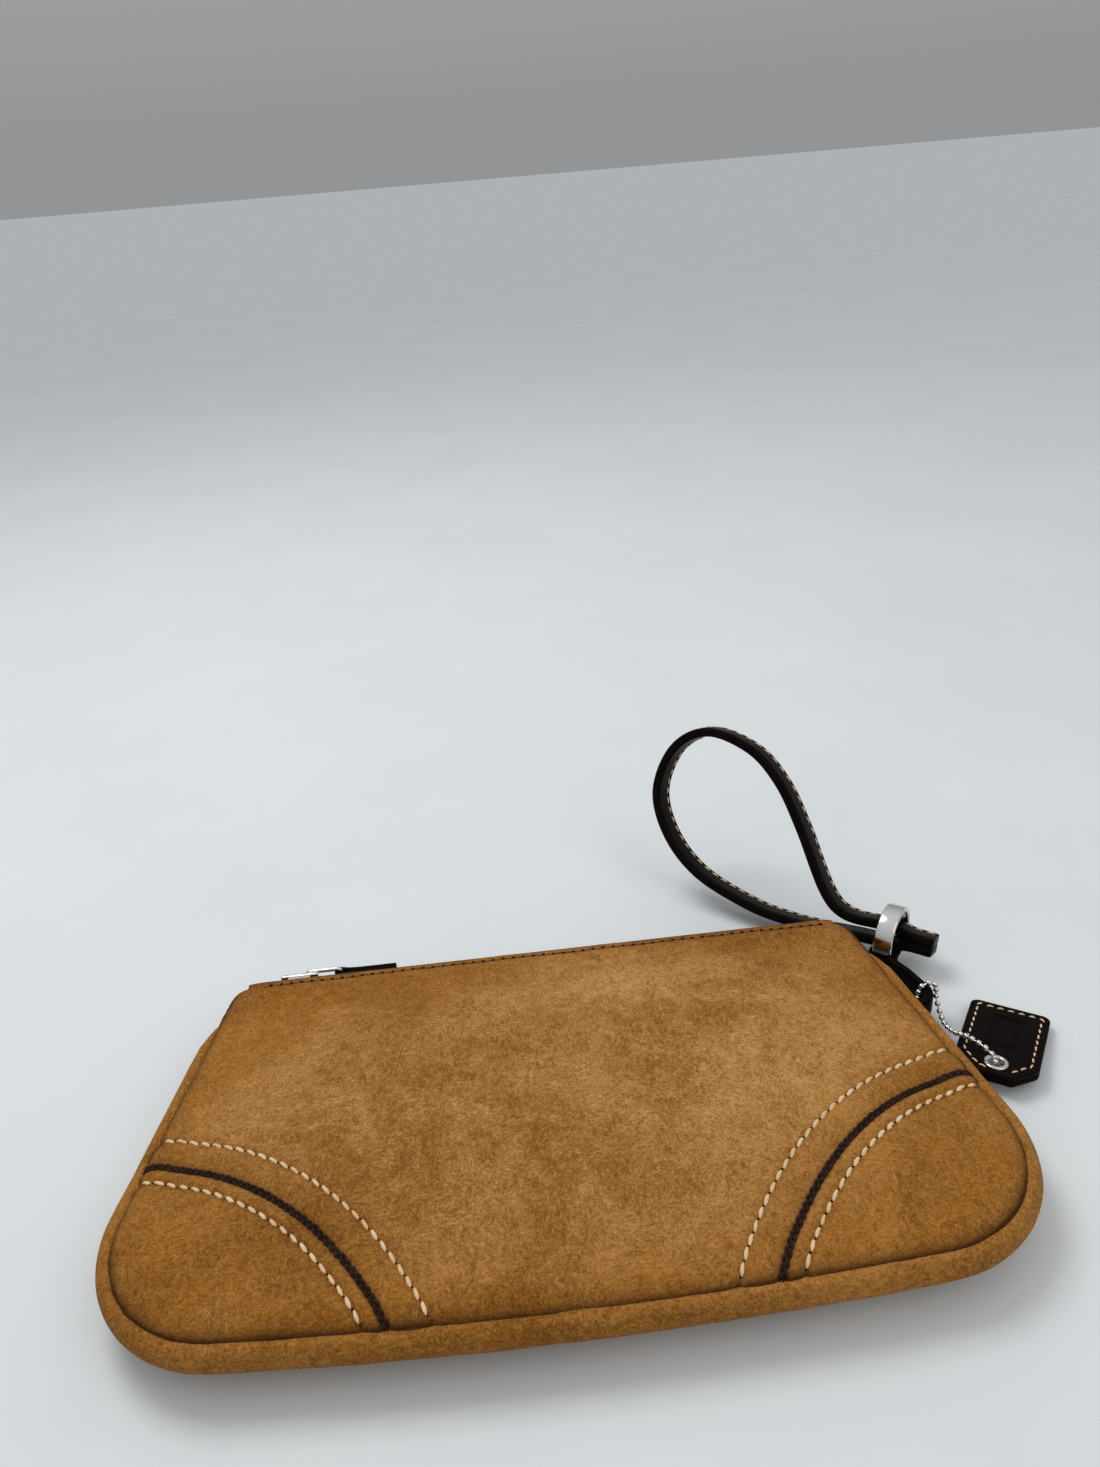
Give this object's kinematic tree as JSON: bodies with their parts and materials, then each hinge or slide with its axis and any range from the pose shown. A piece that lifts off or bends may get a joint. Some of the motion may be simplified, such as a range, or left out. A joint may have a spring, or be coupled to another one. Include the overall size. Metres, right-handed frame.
{
  "type": "clutch purse",
  "caption": "Flat suede zip-top clutch purse lying on its back, with a leather wrist strap on a nickel ring and a leather hangtag on a ball chain.",
  "frame": {"origin": "middle of the back panel's resting face, at z = 0", "axes": "+X towards the strap side, +Y towards the zip, +Z out of the front panel"},
  "size_m": [0.2225, 0.1658, 0.0524],
  "materials": {
    "suede": "suede",
    "dark_leather": "semi-gloss",
    "dark_thread": "braided",
    "cream_thread": "waxed thread",
    "tan_thread": "waxed thread",
    "zip_tape": "woven",
    "lining": "woven",
    "nickel": "polished"
  },
  "bodies": {
    "pouch": {"front_panel": "suede", "front_corner_left": "suede", "front_corner_right": "suede", "back_panel": "suede", "edge_band": "suede", "corner_cord_left": "dark_thread", "corner_cord_right": "dark_thread", "corner_stitches_outer_left": "cream_thread", "corner_stitches_outer_right": "cream_thread", "corner_stitches_inner_left": "cream_thread", "corner_stitches_inner_right": "cream_thread", "top_stitches_front": "tan_thread", "zip_tape_front": "zip_tape", "zip_tape_back": "zip_tape", "zip_teeth_front": "nickel", "zip_teeth_back": "nickel", "zip_stop_start": "nickel", "zip_stop_end": "nickel", "lining_front": "lining", "lining_back": "lining", "card_pocket": "lining", "anchor_tab": "dark_leather"},
    "slider": {"zip_slider": "nickel"},
    "link": {"zip_pull_link": "nickel"},
    "pull": {"zip_pull": "dark_leather"},
    "ring": {"strap_ring": "nickel"},
    "strap": {"wrist_strap": "dark_leather", "strap_stitches": "cream_thread"},
    "chain": {"tag_chain": "nickel"},
    "tag": {"hangtag_front": "dark_leather", "hangtag_back": "dark_leather", "hangtag_stitches": "cream_thread", "hangtag_eyelet": "nickel"}
  },
  "joints": [
    {"name": "zip_slide", "type": "slide", "parent": "pouch", "child": "slider", "axis": [1, 0, 0], "range_m": [0, 0.108]},
    {"name": "link_swing", "type": "hinge", "parent": "slider", "child": "link", "pos_m": [-0.06415, 0.05645, 0.0108], "axis": [0, 0, 1], "range_deg": [0, 90]},
    {"name": "pull_swing", "type": "hinge", "parent": "link", "child": "pull", "pos_m": [-0.05515, 0.05645, 0.0108], "axis": [0, 0, 1], "range_deg": [0, 90]},
    {"name": "ring_swing", "type": "hinge", "parent": "pouch", "child": "ring", "pos_m": [0.0907, 0.044, 0.0057], "axis": [0, 0, 1], "range_deg": [-8, 3]},
    {"name": "strap_swing", "type": "hinge", "parent": "ring", "child": "strap", "pos_m": [0.095, 0.0495, 0.009], "axis": [0.5708, 0.7306, -0.3746], "range_deg": [-20, 20]},
    {"name": "chain_swing", "type": "hinge", "parent": "pouch", "child": "chain", "pos_m": [0.0962, 0.0269, 0.006], "axis": [0, 0, 1], "range_deg": [0, 15]},
    {"name": "tag_turn", "type": "hinge", "parent": "chain", "child": "tag", "pos_m": [0.10369, 0.00311, 0.00416], "axis": [0.0623, 0.0945, 0.9936], "range_deg": [-30, 0]}
  ]
}
